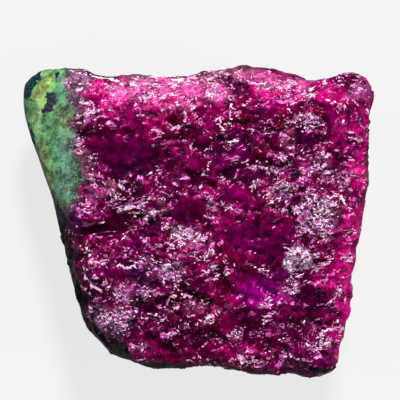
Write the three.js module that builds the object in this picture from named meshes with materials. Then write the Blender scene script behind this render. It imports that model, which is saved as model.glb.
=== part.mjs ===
// Rough ruby in zoisite: one slab-like stone with four edges, small enough for a palm. Its broad face is
// broken ruby, its left flank a smooth band of green zoisite, and it lies on its back, broad face up.
// Millimetres. +X runs along the long way across the broad face, +Y the short way, +Z up out of it.
import * as THREE from "three";
import { mergeVertices } from "three/addons/utils/BufferGeometryUtils.js";
import { ImprovedNoise } from "three/addons/math/ImprovedNoise.js";

// Driving dimensions.
const THICKNESS = 14; // from the resting face to the broad face
const GIRTH_HEIGHT = 10.6; // where the stone is widest, at its middle
const GIRTH_SLOPE = 0.08; // how much higher that is for each mm to the right
const SKIN_SPANS = [36, 31.5, 11]; // how far the skin runs across, along and down the walls between its edges
const SKIN_CELL = 0.95; // size of one facet of the skin
const EDGE_SHARPNESS = 4; // per mm: higher makes the edges between fracture planes crisper
const REST_RADIUS = 4.5; // the middle of the back that is flat and carries the stone
const BACK_HOLLOW = 0.45; // how far the rough back lies above the resting surface, on average

// The stone's widest outline, seen from above, in four stretches from corner to corner.
const TOP_EDGE = [
  [-18.0, 14.1], [-17.6, 14.8], [-17.0, 15.3], [-16.3, 15.6], [-13.9, 15.6], [-12.2, 15.5], [-10.6, 14.9],
  [-6.5, 15.0], [-3.3, 14.4], [-0.8, 14.5], [0.2, 14.9], [2.4, 15.3], [4.9, 15.7], [6.5, 15.4], [9.8, 14.8],
  [11.0, 14.5], [12.2, 14.8], [13.9, 14.5], [14.7, 14.9], [16.3, 15.0], [17.3, 14.7], [18.0, 13.6],
];
const RIGHT_EDGE = [
  [18.0, 13.6], [18.0, 11.7], [17.4, 6.5], [17.0, 3.3], [16.8, -0.6], [16.2, -2.9], [15.7, -7.1],
  [15.6, -9.8], [15.2, -11.7], [14.7, -12.6], [14.5, -13.5],
];
const BOTTOM_EDGE = [
  [-9.0, -13.7], [-8.2, -14.3], [-6.9, -14.7], [-4.7, -14.9], [1.8, -15.0], [4.3, -15.2], [5.9, -15.5],
  [7.5, -15.7], [10.8, -15.8], [12.4, -15.8], [13.6, -15.3], [14.3, -14.6], [14.5, -13.5],
];
const LEFT_EDGE = [
  [-18.0, 14.1], [-18.1, 12.9], [-17.8, 10.4], [-17.2, 8.2], [-16.3, 5.7], [-14.9, 2.0], [-14.0, -2.2],
  [-13.2, -4.9], [-12.6, -7.5], [-12.1, -9.5], [-11.3, -11.3], [-10.4, -11.8], [-9.6, -12.5], [-9.0, -13.7],
];

// Fracture planes that bound the stone within its outline: a point on each and the way it faces.
const FRACTURES = [
  { name: "broad face", at: [0, 0, THICKNESS], faces: [0, 0, 1] },
  { name: "upper band", at: [0, 10.4, THICKNESS], faces: [-0.03, 0.46, 0.9] },
  { name: "upper right corner", at: [14.6, 12.4, THICKNESS - 0.8], faces: [0.45, 0.5, 0.76] },
  { name: "zoisite flank", at: [-13.0, 4, THICKNESS - 0.3], faces: [-0.6, 0.06, 0.8] },
  { name: "zoisite corner", at: [-16.4, 13.4, THICKNESS - 2.9], faces: [-0.62, 0.55, 0.56] },
  { name: "lower left edge", at: [-11.2, -6, THICKNESS - 0.2], faces: [-0.78, -0.18, 0.6] },
  { name: "lower left corner", at: [-8.2, -12.4, THICKNESS - 0.4], faces: [-0.62, -0.52, 0.6] },
  { name: "right edge", at: [15.8, 4, THICKNESS - 0.3], faces: [0.64, -0.08, 0.76] },
  { name: "lower edge", at: [4, -14.9, THICKNESS - 0.5], faces: [-0.05, -0.84, 0.54] },
  { name: "left wall", at: [-12.6, -1, 3.5], faces: [-0.86, -0.28, -0.42] },
  { name: "top wall", at: [-8, 13.2, 4.6], faces: [0, 0.86, -0.5] },
  { name: "right wall", at: [14.8, 2, 4], faces: [0.88, -0.1, -0.46] },
  { name: "bottom wall, left", at: [-4, -13.2, 4], faces: [-0.35, -0.8, -0.48] },
  { name: "bottom wall, right", at: [9, -14, 3.5], faces: [0.2, -0.87, -0.44] },
  { name: "back", at: [0, 0, BACK_HOLLOW], faces: [0, 0, -1] },
  { name: "back left", at: [-9.4, 2, 0], faces: [-0.52, 0.1, -0.85] },
  { name: "back top", at: [1, 10.2, 0], faces: [0.1, 0.56, -0.82] },
  { name: "back right", at: [12.2, -2, 0], faces: [0.64, 0.08, -0.76] },
  { name: "back bottom", at: [3, -11.2, 0], faces: [-0.12, -0.6, -0.79] },
];

// Lumps and hollows of the broad face: middle, half widths along X and Y, and lift, negative for a hollow.
const FACE_FORMS = [
  { name: "upper left hollow", at: [-5.0, 6.4], half: [3.6, 2.6], lift: -0.6 },
  { name: "left basin", at: [-9.3, -1.3], half: [2.9, 1.5], lift: -0.6 },
  { name: "middle pocket", at: [-1.2, 0.6], half: [2.1, 1.7], lift: -0.75 },
  { name: "wide window", at: [5.2, -1.4], half: [3.0, 2.6], lift: -0.45 },
  { name: "low window", at: [6.4, -6.6], half: [2.4, 1.8], lift: -0.4 },
  { name: "upper dark hollow", at: [3.2, 8.2], half: [3.2, 1.6], lift: -0.4 },
  { name: "right dark hollow", at: [10.4, 5.6], half: [1.6, 1.4], lift: -0.45 },
  { name: "lower right hollow", at: [9.6, -10.6], half: [3.2, 1.9], lift: -0.45 },
  { name: "pocket's lower lip", at: [-1.0, -2.4], half: [2.9, 1.3], lift: 0.5 },
  { name: "left spur", at: [-8.6, 2.4], half: [2.6, 1.1], lift: 0.5 },
  { name: "left shoulder", at: [-4.6, -4.6], half: [3.2, 1.9], lift: 0.45 },
  { name: "right hump", at: [12.6, 1.6], half: [2.8, 2.4], lift: 0.6 },
  { name: "right grain", at: [10.3, -3.7], half: [1.6, 1.6], lift: 0.6 },
  { name: "lower left grain", at: [-8.2, -9.8], half: [2.2, 1.9], lift: 0.6 },
  { name: "lower ridge", at: [1.2, -10.0], half: [4.6, 1.1], lift: 0.45 },
  { name: "bottom ridge", at: [4.4, -14.0], half: [4.0, 1.1], lift: 0.4 },
];

// Repeatable random number from 0 to 1 for a lattice point.
function scatter(i, j, k, seed) {
  let mix = Math.imul(i + 101, 374761393) ^ Math.imul(j + 211, 668265263) ^ Math.imul(k + 307, 1274126177);
  mix = Math.imul(mix ^ Math.imul(seed, 97531), 2246822519);
  mix = Math.imul(mix ^ (mix >>> 15), 3266489917);
  return ((mix ^ (mix >>> 13)) >>> 0) / 4294967296;
}

// Height of a surface that broke into chips of about the given size: tilted lumps that meet in creases. It is
// zero on average.
function chips(point, size, seed) {
  const TILT = 1.1;
  const LIFT = 0.6;
  const MEAN = 0.1;
  const [x, y, z] = point.toArray().map((value) => value / size);
  let height = -Infinity;
  for (let i = Math.floor(x) - 1; i <= Math.floor(x) + 1; i++) {
    for (let j = Math.floor(y) - 1; j <= Math.floor(y) + 1; j++) {
      for (let k = Math.floor(z) - 1; k <= Math.floor(z) + 1; k++) {
        const random = (n) => scatter(i, j, k, seed * 8 + n);
        const [dx, dy, dz] = [x - i - random(0), y - j - random(1), z - k - random(2)];
        const tilt = dx * (random(3) - 0.5) + dy * (random(4) - 0.5) + dz * (random(5) - 0.5);
        height = Math.max(height, TILT * tilt + LIFT * random(6) - (dx * dx + dy * dy + dz * dz));
      }
    }
  }
  return height - MEAN;
}

const noise = new ImprovedNoise();
const swell = (point, size) => noise.noise(point.x / size, point.y / size, point.z / size + 0.5);

// Distance outside the widest outline, negative inside it.
const OUTLINE = [
  ...TOP_EDGE,
  ...RIGHT_EDGE.slice(1),
  ...BOTTOM_EDGE.slice(0, -1).reverse(),
  ...LEFT_EDGE.slice(1, -1).reverse(),
];
const SIDES = OUTLINE.map(([x, y], i) => {
  const [nextX, nextY] = OUTLINE[(i + 1) % OUTLINE.length];
  return { x, y, alongX: nextX - x, alongY: nextY - y };
});

function beyondOutline(x, y) {
  let nearest = Infinity;
  let inside = false;
  for (const side of SIDES) {
    const [offX, offY] = [x - side.x, y - side.y];
    const along = (offX * side.alongX + offY * side.alongY) / (side.alongX ** 2 + side.alongY ** 2);
    const share = THREE.MathUtils.clamp(along, 0, 1);
    nearest = Math.min(nearest, Math.hypot(offX - share * side.alongX, offY - share * side.alongY));
    const crosses = side.y > y !== side.y + side.alongY > y;
    if (crosses && offX < (side.alongX * offY) / side.alongY) {
      inside = !inside;
    }
  }
  return inside ? -nearest : nearest;
}

// The walls lean in a little above the girth, and draw in more and more towards the back below it.
function wall(point) {
  const below = GIRTH_HEIGHT + GIRTH_SLOPE * point.x - point.z;
  const lean = below > 0 ? 0.1 * below + 0.022 * below * below : -0.08 * below;
  return beyondOutline(point.x, point.y) + lean;
}

// How rough the surface is: broken ruby is 1, the smooth zoisite flank much less.
function roughness(point) {
  const zoisiteEdge = -12.6 + 0.12 * point.y;
  return 0.3 + 0.7 * THREE.MathUtils.smoothstep(point.x, zoisiteEdge - 1.6, zoisiteEdge + 0.6);
}

// The lift of the lumps and hollows of the broad face.
function faceForms(point) {
  if (point.z < GIRTH_HEIGHT) return 0;
  return FACE_FORMS.reduce((sum, { at, half, lift }) => {
    const reach = ((point.x - at[0]) / half[0]) ** 2 + ((point.y - at[1]) / half[1]) ** 2;
    return reach < 1 ? sum + lift * (1 - reach) ** 1.5 : sum;
  }, 0);
}

// Shingled ledges across the broad face: each rises slowly and ends in a short drop that faces +Y.
function ledges(point) {
  const PITCH = 3.3;
  const RISE_SHARE = 0.82;
  if (point.z < GIRTH_HEIGHT) return 0;
  const run = (point.y + 0.22 * point.x + 2.4 * swell(point, 7)) / PITCH;
  const share = run - Math.floor(run);
  return (share < RISE_SHARE ? share / RISE_SHARE : (1 - share) / (1 - RISE_SHARE)) - 0.5;
}

// The relief carried by every surface: gentler on the walls, and flat where the stone rests.
function relief(point) {
  const WALL_SHARE = 0.55;
  const REST_BORDER = 2.5;
  const broken =
    0.8 * swell(point, 6.5) + 0.8 * chips(point, 4.4, 1) + 0.5 * chips(point, 2.5, 2) + 0.35 * ledges(point);
  const toWall = THREE.MathUtils.smoothstep(-beyondOutline(point.x, point.y), 0.5, 3);
  const own = roughness(point) * broken * THREE.MathUtils.lerp(WALL_SHARE, 1, toWall) + faceForms(point);
  if (point.z > 2) return own;
  const fromRest = Math.hypot(point.x, point.y) - REST_RADIUS;
  return THREE.MathUtils.lerp(BACK_HOLLOW + 0.1, own, THREE.MathUtils.smoothstep(fromRest, 0, REST_BORDER));
}

const PLANES = FRACTURES.map(({ at, faces }) => {
  const normal = new THREE.Vector3(...faces).normalize();
  return new THREE.Plane().setFromNormalAndCoplanarPoint(normal, new THREE.Vector3(...at));
});

// Negative inside the stone, positive outside: the walls and planes, blended at their edges, less the relief.
function outside(point) {
  const distances = [wall(point), ...PLANES.map((plane) => plane.distanceToPoint(point))];
  const most = Math.max(...distances);
  const blend = distances.reduce((sum, d) => sum + Math.exp(EDGE_SHARPNESS * (d - most)), 0);
  return most + Math.log(blend) / EDGE_SHARPNESS - relief(point);
}

// Walks out from an inner point until the surface, and returns the place where it crosses.
function surfaceAlong(from, direction) {
  const STRIDE = 0.25;
  const place = from.clone();
  let reach = 0;
  while (outside(place) < 0) {
    reach += STRIDE;
    place.copy(from).addScaledVector(direction, reach);
  }
  let inner = reach - STRIDE;
  for (let halving = 0; halving < 16; halving++) {
    const middle = (inner + reach) / 2;
    if (outside(place.copy(from).addScaledVector(direction, middle)) < 0) inner = middle;
    else reach = middle;
  }
  return place;
}

// The point of the outline that a ray through (a, b) of the unit square reaches, edge for edge.
const asPath = (points) => new THREE.Path(points.map(([x, y]) => new THREE.Vector2(x, y)));
const EDGES = [TOP_EDGE, RIGHT_EDGE, BOTTOM_EDGE, LEFT_EDGE].map(asPath);

function outlinePoint(a, b, ring) {
  const [top, right, bottom, left] = EDGES;
  if (Math.abs(b) >= Math.abs(a)) {
    return (b > 0 ? top : bottom).getPoint((a / ring + 1) / 2);
  }
  return (a > 0 ? right : left).getPoint((1 - b / ring) / 2);
}

// A box's skin, drawn over the stone: each vertex leaves a flat core sheet and stops at the stone's surface.
function skin() {
  const CORE_SHARE = 0.62; // how far out the core sheet reaches towards the outline
  const JITTER = 0.25; // of a facet, so that the facets don't line up in rows
  const steps = SKIN_SPANS.map((span) => Math.round(span / SKIN_CELL));
  const box = new THREE.BoxGeometry(2, 2, 2, ...steps);
  box.deleteAttribute("normal");
  box.deleteAttribute("uv");
  const geometry = mergeVertices(box);
  const positions = geometry.getAttribute("position");
  for (let i = 0; i < positions.count; i++) {
    const unit = new THREE.Vector3().fromBufferAttribute(positions, i);
    const [a, b, c] = unit.toArray().map((value, axis) => {
      const shift = (scatter(i, axis, 0, 5) * 2 - 1) * JITTER * (2 / steps[axis]);
      return Math.abs(value) > 0.999 ? Math.sign(value) : value + shift;
    });
    const ring = Math.max(Math.abs(a), Math.abs(b));
    const rim = outlinePoint(a, b, ring);
    const base = rim.clone().multiplyScalar(Math.min(ring, CORE_SHARE));
    const spread = Math.max(0, (ring - CORE_SHARE) / (1 - CORE_SHARE));
    const rise = ring === 1 ? (c * Math.PI) / 4 : Math.sign(c) * (Math.PI / 2 - (spread * Math.PI) / 4);
    const level = rim.clone().normalize().multiplyScalar(Math.cos(rise));
    const place = surfaceAlong(
      new THREE.Vector3(base.x, base.y, THICKNESS / 2),
      new THREE.Vector3(level.x, level.y, Math.sin(rise)),
    );
    positions.setXYZ(i, place.x, place.y, Math.max(place.z, 0));
  }
  return geometry;
}

// The origin is put under the middle of the stone, on the surface that it rests on.
function rested(geometry) {
  geometry.computeBoundingBox();
  const middle = geometry.boundingBox.getCenter(new THREE.Vector3());
  return geometry.translate(-middle.x, -middle.y, -geometry.boundingBox.min.z);
}

const rubyInZoisite = new THREE.MeshStandardMaterial({ color: 0x8c1458, roughness: 0.35, metalness: 0 });

const stone = new THREE.Mesh(rested(skin()), rubyInZoisite);
stone.name = "stone";

const part = new THREE.Group();
part.add(stone);

export default part;
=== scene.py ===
import math

import bmesh
import bpy
import numpy as np
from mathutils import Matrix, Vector, kdtree, noise


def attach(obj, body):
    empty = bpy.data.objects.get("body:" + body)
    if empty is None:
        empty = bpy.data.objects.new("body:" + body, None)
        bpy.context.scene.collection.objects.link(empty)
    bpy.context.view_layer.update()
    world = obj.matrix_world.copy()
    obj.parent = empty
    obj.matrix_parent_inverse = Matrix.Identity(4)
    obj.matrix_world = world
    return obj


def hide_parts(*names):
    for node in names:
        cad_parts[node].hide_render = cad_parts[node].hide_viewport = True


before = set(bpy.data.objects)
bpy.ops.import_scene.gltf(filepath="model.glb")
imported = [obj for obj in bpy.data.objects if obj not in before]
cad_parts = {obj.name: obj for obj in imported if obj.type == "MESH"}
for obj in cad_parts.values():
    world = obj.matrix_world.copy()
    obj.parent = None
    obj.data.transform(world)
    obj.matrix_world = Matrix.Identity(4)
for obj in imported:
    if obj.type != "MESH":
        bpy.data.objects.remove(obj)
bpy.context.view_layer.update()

# The stone's skin: one rough, slab-like piece of ruby in zoisite, broken from its rock and left uncut. It is
# chipped where the ruby is sugary, hollowed like a shell where it is glassy, and worn nearly smooth where it
# is zoisite. Nothing is fixed to it.
MM = 0.001
MERGE_DISTANCE = 0.002
SKIN_CUTS = 3
SKIN_ROUNDS = 4
chance = np.random.default_rng(29)

skin = bmesh.new()
skin.from_mesh(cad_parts["stone"].data)
bmesh.ops.remove_doubles(skin, verts=skin.verts, dist=MERGE_DISTANCE * MM)
bmesh.ops.subdivide_edges(skin, edges=skin.edges, cuts=SKIN_CUTS, use_grid_fill=True)
for _ in range(SKIN_ROUNDS):
    bmesh.ops.smooth_vert(
        skin, verts=skin.verts, factor=0.5, use_axis_x=True, use_axis_y=True, use_axis_z=True
    )
stone_mesh = bpy.data.meshes.new("ruby_in_zoisite_stone")
skin.to_mesh(stone_mesh)
skin.free()

# The skin's points in millimetres, which the steps below move, and the edges between them.
count = len(stone_mesh.vertices)
place = np.empty(count * 3, np.float32)
stone_mesh.vertices.foreach_get("co", place)
place = place.reshape(-1, 3) / MM
edges = np.empty(len(stone_mesh.edges) * 2, np.int32)
stone_mesh.edges.foreach_get("vertices", edges)
edges = edges.reshape(-1, 2)


def outward():
    """Puts the skin's vertices where place says, and gives the way each of them faces."""
    stone_mesh.vertices.foreach_set("co", (place * MM).astype(np.float32).ravel())
    stone_mesh.update()
    facing = np.empty(count * 3, np.float32)
    stone_mesh.vertex_normals.foreach_get("vector", facing)
    return facing.reshape(-1, 3)


away = outward()


def field(size, seed, octaves=2):
    """Smooth noise over the skin, from about -1 to 1, with swells of about the given size in millimetres."""
    shift = Vector((seed * 17.3, seed * 5.1, seed * 9.7))
    return np.array([noise.fractal(Vector(p) / size + shift, 0.6, 2.0, octaves) for p in place.tolist()])


def ramp(value, low, high):
    """0 below low, 1 above high, smooth between."""
    share = np.clip((value - low) / (high - low), 0, 1)
    return share * share * (3 - 2 * share)


# Marks wander with this warp, so that none of them has an even edge, and they fade out towards the back.
warp = np.stack([field(1.7, 1), field(1.7, 2)], axis=1)
front = ramp(away[:, 2], -0.35, 0.1)


def marked(marks, soft=0.4, wander=0.5):
    """How strongly each point lies in any of the marks.

    A mark is x, y, half length and half width in millimetres, its turn in degrees, and its strength.
    """
    warped = place[:, :2] + wander * warp
    cover = np.zeros(count)
    for x, y, along, across, turn, strength in marks:
        cos, sin = math.cos(math.radians(turn)), math.sin(math.radians(turn))
        dx, dy = warped[:, 0] - x, warped[:, 1] - y
        reach = np.hypot((dx * cos + dy * sin) / along, (dy * cos - dx * sin) / across)
        cover = np.maximum(cover, strength * (1 - ramp(reach, 1 - soft, 1 + soft)))
    return cover * front


# Wide, lightly frosted zones where the ruby broke across its grain.
LIGHT_FROST = [
    (11.0, 3.6, 5.4, 4.4, 0, 0.42), (-7.0, 2.4, 4.6, 2.2, 0, 0.35), (-5.0, -6.0, 6.6, 5.2, 0, 0.3),
    (2.0, 13.6, 15.0, 1.7, 0, 0.46), (13.0, -4.0, 2.8, 4.4, 0, 0.25), (1.6, 2.2, 2.4, 1.4, 0, 0.35),
    (9.0, 6.6, 1.2, 0.8, 0, 0.5), (2.5, 9.0, 6.0, 2.6, 0, 0.22), (14.5, 9.5, 3.0, 3.5, 0, 0.22),
    (6.0, -12.0, 8.0, 2.6, 0, 0.2),
]
# Dense, sugary patches within them.
FROST = [
    (-6.0, 12.4, 4.5, 1.3, -12, 0.5), (0.5, 12.4, 4.0, 1.0, 0, 0.45), (-10.6, 11.2, 1.6, 0.8, -30, 0.6),
    (-0.6, 14.0, 2.4, 0.7, 0, 0.6), (6.0, 13.9, 2.6, 0.8, 0, 0.5), (-11.1, 6.4, 2.8, 0.3, -59, 0.6),
    (-7.2, 1.5, 3.6, 0.8, -22, 0.8), (-8.7, 3.2, 0.8, 0.7, 0, 0.65), (-5.4, 0.7, 2.2, 0.9, 0, 0.7),
    (-1.3, -1.2, 2.0, 0.8, -12, 1.0), (-0.9, -3.3, 2.4, 1.6, 0, 0.5), (-2.8, -4.9, 1.5, 0.6, 0, 0.95),
    (1.8, -5.0, 1.6, 1.0, 0, 0.55), (-8.0, -3.4, 1.4, 0.7, 0, 0.45), (-5.2, -5.9, 1.2, 1.4, 0, 0.3),
    (-7.8, -7.1, 1.2, 0.7, -40, 0.8), (-10.0, -6.2, 1.6, 0.4, -10, 0.5), (-8.8, -10.2, 2.4, 1.7, 0, 1.0),
    (-11.4, -3.0, 0.9, 0.8, 0, 0.45), (-12.0, 0.4, 0.5, 1.3, 0, 0.35), (-6.0, -12.4, 1.2, 0.8, 0, 0.35),
    (-1.2, -10.7, 1.6, 0.6, 25, 0.7), (-3.6, -9.6, 1.2, 0.7, 10, 0.55), (0.8, -9.6, 1.4, 0.3, 20, 0.9),
    (-3.2, -11.4, 0.8, 0.4, 0, 0.5), (3.7, -11.7, 1.0, 0.45, 0, 0.9), (5.3, -14.1, 2.0, 0.5, 10, 0.75),
    (1.8, -14.5, 2.0, 0.4, 0, 0.45), (6.8, -12.6, 0.6, 0.6, 0, 0.6), (12.2, -12.4, 1.5, 0.35, 8, 0.55),
    (10.5, -11.8, 1.6, 0.3, 6, 0.4), (13.9, -10.9, 1.7, 0.4, -8, 0.5), (7.1, -9.2, 1.0, 0.6, 0, 0.7),
    (9.2, -9.6, 1.0, 0.4, 10, 0.4), (9.2, -6.4, 1.0, 0.7, -50, 0.8), (12.7, -5.0, 0.9, 0.6, 0, 0.5),
    (7.2, -4.9, 1.5, 0.3, -10, 0.4), (12.0, 0.6, 2.2, 2.0, 0, 0.85), (12.6, -1.0, 1.3, 0.9, -30, 0.85),
    (8.3, 3.0, 1.9, 1.1, 15, 0.95), (6.1, 3.6, 1.0, 0.9, 0, 0.55), (6.2, 5.4, 0.7, 0.7, 0, 0.65),
    (7.8, 4.9, 1.1, 0.7, 0, 0.6), (12.9, 4.8, 2.0, 1.1, -35, 0.8), (10.8, 6.7, 2.3, 0.6, 5, 0.65),
    (12.6, 7.2, 0.8, 0.4, -60, 0.6), (11.7, 9.9, 1.3, 0.8, -40, 0.9), (9.6, 10.3, 1.5, 0.5, 0, 0.45),
    (8.5, 8.4, 1.1, 0.6, 50, 0.7), (3.3, 8.2, 1.7, 0.35, 14, 0.75), (3.0, 9.8, 1.6, 0.5, 0, 0.35),
    (1.5, 13.1, 1.2, 0.8, 0, 1.0), (2.9, 12.6, 0.9, 0.5, 0, 0.5), (-1.0, 12.0, 1.7, 0.8, 15, 0.7),
    (-4.7, 13.7, 1.6, 1.0, 0, 0.65), (-6.6, 13.8, 1.2, 0.8, -20, 0.7), (-7.4, 12.5, 1.3, 0.6, -20, 0.6),
    (-9.0, 11.3, 1.1, 0.5, 15, 0.6), (-11.4, 10.5, 1.0, 0.5, 0, 0.55), (-11.4, 7.4, 0.6, 0.9, 0, 0.3),
    (-11.0, 5.7, 0.7, 0.9, 0, 0.35), (-3.9, 5.0, 1.4, 0.35, -45, 0.4), (0.8, 5.8, 1.8, 0.5, 70, 0.4),
    (2.6, 4.3, 1.4, 0.4, 0, 0.3), (3.5, 1.2, 1.5, 0.5, -30, 0.55), (1.3, 0.8, 0.6, 0.6, 0, 0.5),
    (15.2, 1.5, 1.0, 0.4, -20, 0.5), (15.2, -1.4, 0.8, 0.8, 0, 0.6), (14.9, -3.1, 0.7, 0.9, 0, 0.5),
    (15.4, 11.2, 1.3, 0.8, 0, 0.35), (16.3, 13.2, 1.0, 0.8, 0, 0.6), (4.8, 14.6, 3.2, 0.6, 4, 0.5),
    (10.0, 13.8, 1.2, 0.6, 0, 0.5),
]
# Dark, glassy windows into clear ruby, where it parted smoothly.
WINDOWS = [
    (-7.2, 6.2, 3.4, 1.9, 0, 1.0), (-7.4, 8.6, 3.4, 1.4, 10, 0.8), (-1.2, 1.1, 1.5, 1.2, 0, 1.0),
    (-1.6, 4.4, 1.9, 0.9, 0, 0.9), (-9.8, -0.9, 2.6, 0.8, 0, 0.9), (4.2, 2.6, 1.3, 0.8, 0, 0.7),
    (3.8, -0.8, 1.6, 1.5, 0, 0.8), (5.8, -1.8, 2.6, 2.3, 0, 1.0), (3.4, -3.6, 1.6, 0.8, 0, 0.8),
    (5.2, -6.6, 1.8, 1.6, 0, 0.9), (1.2, 7.9, 1.6, 0.9, -35, 0.8), (4.5, 6.8, 1.2, 0.8, 0, 0.7),
    (10.6, 8.7, 1.1, 1.1, 0, 0.95), (13.8, 7.6, 0.6, 2.4, 16, 0.7), (13.2, 9.6, 0.7, 2.6, 20, 0.8),
    (15.2, 8.8, 0.8, 1.6, 0, 0.6), (7.6, -4.6, 1.4, 0.7, -20, 0.6), (3.6, -10.4, 2.4, 0.8, 0, 0.7),
    (9.4, -10.6, 1.4, 0.7, 0, 0.6), (0.0, -12.8, 1.6, 0.6, 0, 0.6), (-2.4, -12.8, 1.8, 0.5, 0, 0.7),
    (-10.6, 13.0, 1.2, 0.6, 0, 0.5), (2.4, -7.6, 1.2, 1.0, 0, 0.5), (11.8, -8.4, 1.2, 0.9, 0, 0.6),
    (2.2, 10.4, 1.0, 0.6, 0, 0.5), (13.6, 12.8, 1.6, 0.7, -8, 0.6), (4.6, 12.7, 1.2, 0.8, 0, 0.45),
    (-8.8, -5.2, 1.0, 0.7, 0, 0.6), (8.4, -2.2, 0.8, 0.7, 0, 0.8),
]
# The back has no marks: it is frosted and glassy here and there, by noise.
hidden = 1 - front
scattered = 0.7 * ramp(field(2.4, 5, 3), -0.1, 0.8)
glass = marked(WINDOWS)
frost = np.maximum(marked(FROST, 0.7), marked(LIGHT_FROST, 0.6) * (1 - glass))
frost = np.maximum(frost, hidden * scattered) * ramp(place[:, 2], 0.3, 1.0)
window = np.maximum(glass, hidden * ramp(field(4.0, 6), 0.15, 0.5)) * (1 - 0.8 * frost)

# The zoisite flank lies left of a line that wanders down the broad face, and round the left wall.
LINE_Y = [-16, -11, -6, -2, 0.2, 1.2, 2.2, 3.3, 4.8, 6.3, 7.9, 9.7, 13.2, 14.5, 16]
LINE_X = [
    -26, -20, -15, -14.6, -13.8, -13.1, -12.5, -12.0, -11.8, -12.3, -12.7, -12.6, -12.7, -13.2, -13.5,
]
line = np.interp(place[:, 1], LINE_Y, LINE_X) + 0.7 * field(1.0, 4, 3)
zoisite = 1 - ramp(place[:, 0] - line, -0.4, 0.3)
frost *= 1 - zoisite
window *= 1 - zoisite


def relaxed(share, rounds):
    """The skin's points after each has moved towards the middle of its neighbours, by its own share."""
    settled = place.astype(np.float64)
    neighbours = np.bincount(edges.ravel(), minlength=count)
    for _ in range(rounds):
        for axis in range(3):
            total = np.bincount(edges[:, 0], settled[edges[:, 1], axis], count)
            total += np.bincount(edges[:, 1], settled[edges[:, 0], axis], count)
            settled[:, axis] += share * (total / neighbours - settled[:, axis])
    return settled


# Windows are smooth and a little sunk.
WINDOW_ROUNDS = 150
WINDOW_DEPTH = 0.12
place = relaxed(0.9 * window * front, WINDOW_ROUNDS) - away * (WINDOW_DEPTH * window * front)[:, None]
away = outward()

# The skin's area in square millimetres, and how chips are squeezed along X to lie longer that way.
SKIN_AREA = 3700
LONGER_ALONG_X = np.array([0.6, 1.0, 1.0])


def chips(spacing, tilt, lift):
    """Height in millimetres of a skin of flat, tilted chips, about the given distance apart."""
    seeds = chance.choice(count, int(SKIN_AREA / spacing**2), replace=False)
    tree = kdtree.KDTree(len(seeds))
    for n, seed in enumerate(seeds):
        tree.insert(place[seed] * LONGER_ALONG_X, n)
    tree.balance()
    nearest = np.array([tree.find(p)[1] for p in (place * LONGER_ALONG_X).tolist()])
    slopes = chance.normal(0, tilt, (len(seeds), 3))
    lifts = chance.normal(0, lift, len(seeds))
    return ((place - place[seeds[nearest]]) * slopes[nearest]).sum(1) + lifts[nearest]


coarse = chips(2.0, 0.17, 0.07)
middle = chips(1.0, 0.25, 0.045)
fine = chips(0.55, 0.3, 0.03)
ruby_height = (1 - 0.5 * window) * coarse + (0.8 + 0.3 * frost - 0.6 * window) * middle
ruby_height += (0.35 + 0.8 * frost - 0.3 * window) * fine
height = (1 - zoisite) * ruby_height + zoisite * (0.15 * coarse + 0.1 * fine)

# Chips are lower on the girth, and the flat back that the stone lies on has none.
HIGHEST_CHIP = 0.35
girth = 1 - np.abs(away[:, 2])
free = ramp(place[:, 2], 0.05, 0.6) * (1 - 0.65 * girth)
place = place + away * (np.clip(height, -HIGHEST_CHIP, HIGHEST_CHIP) * free)[:, None]
place[:, 2] = np.maximum(place[:, 2], 0)
away = outward()

# 1 at the bottom of a hollow between chips, 0 on a rim. The material darkens the ruby there as painted shade.
HOLLOW_ROUNDS = 25
hollow_shade = ramp(((relaxed(0.5, HOLLOW_ROUNDS) - place) * away).sum(1), -0.06, 0.1)


# The stone's colours: ruby runs from wine through magenta to purple with its depth and its chromium. Zoisite
# is leaf green with yellow and blue in it. Black pargasite and a thin grey-violet seam lie between the two.
def colour(code):
    """Linear red, green and blue of a colour written as it shows, such as 7a0030."""
    shown = np.array([int(code[n : n + 2], 16) / 255 for n in (0, 2, 4)])
    return np.where(shown > 0.04045, ((shown + 0.055) / 1.055) ** 2.4, shown / 12.92)


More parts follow.
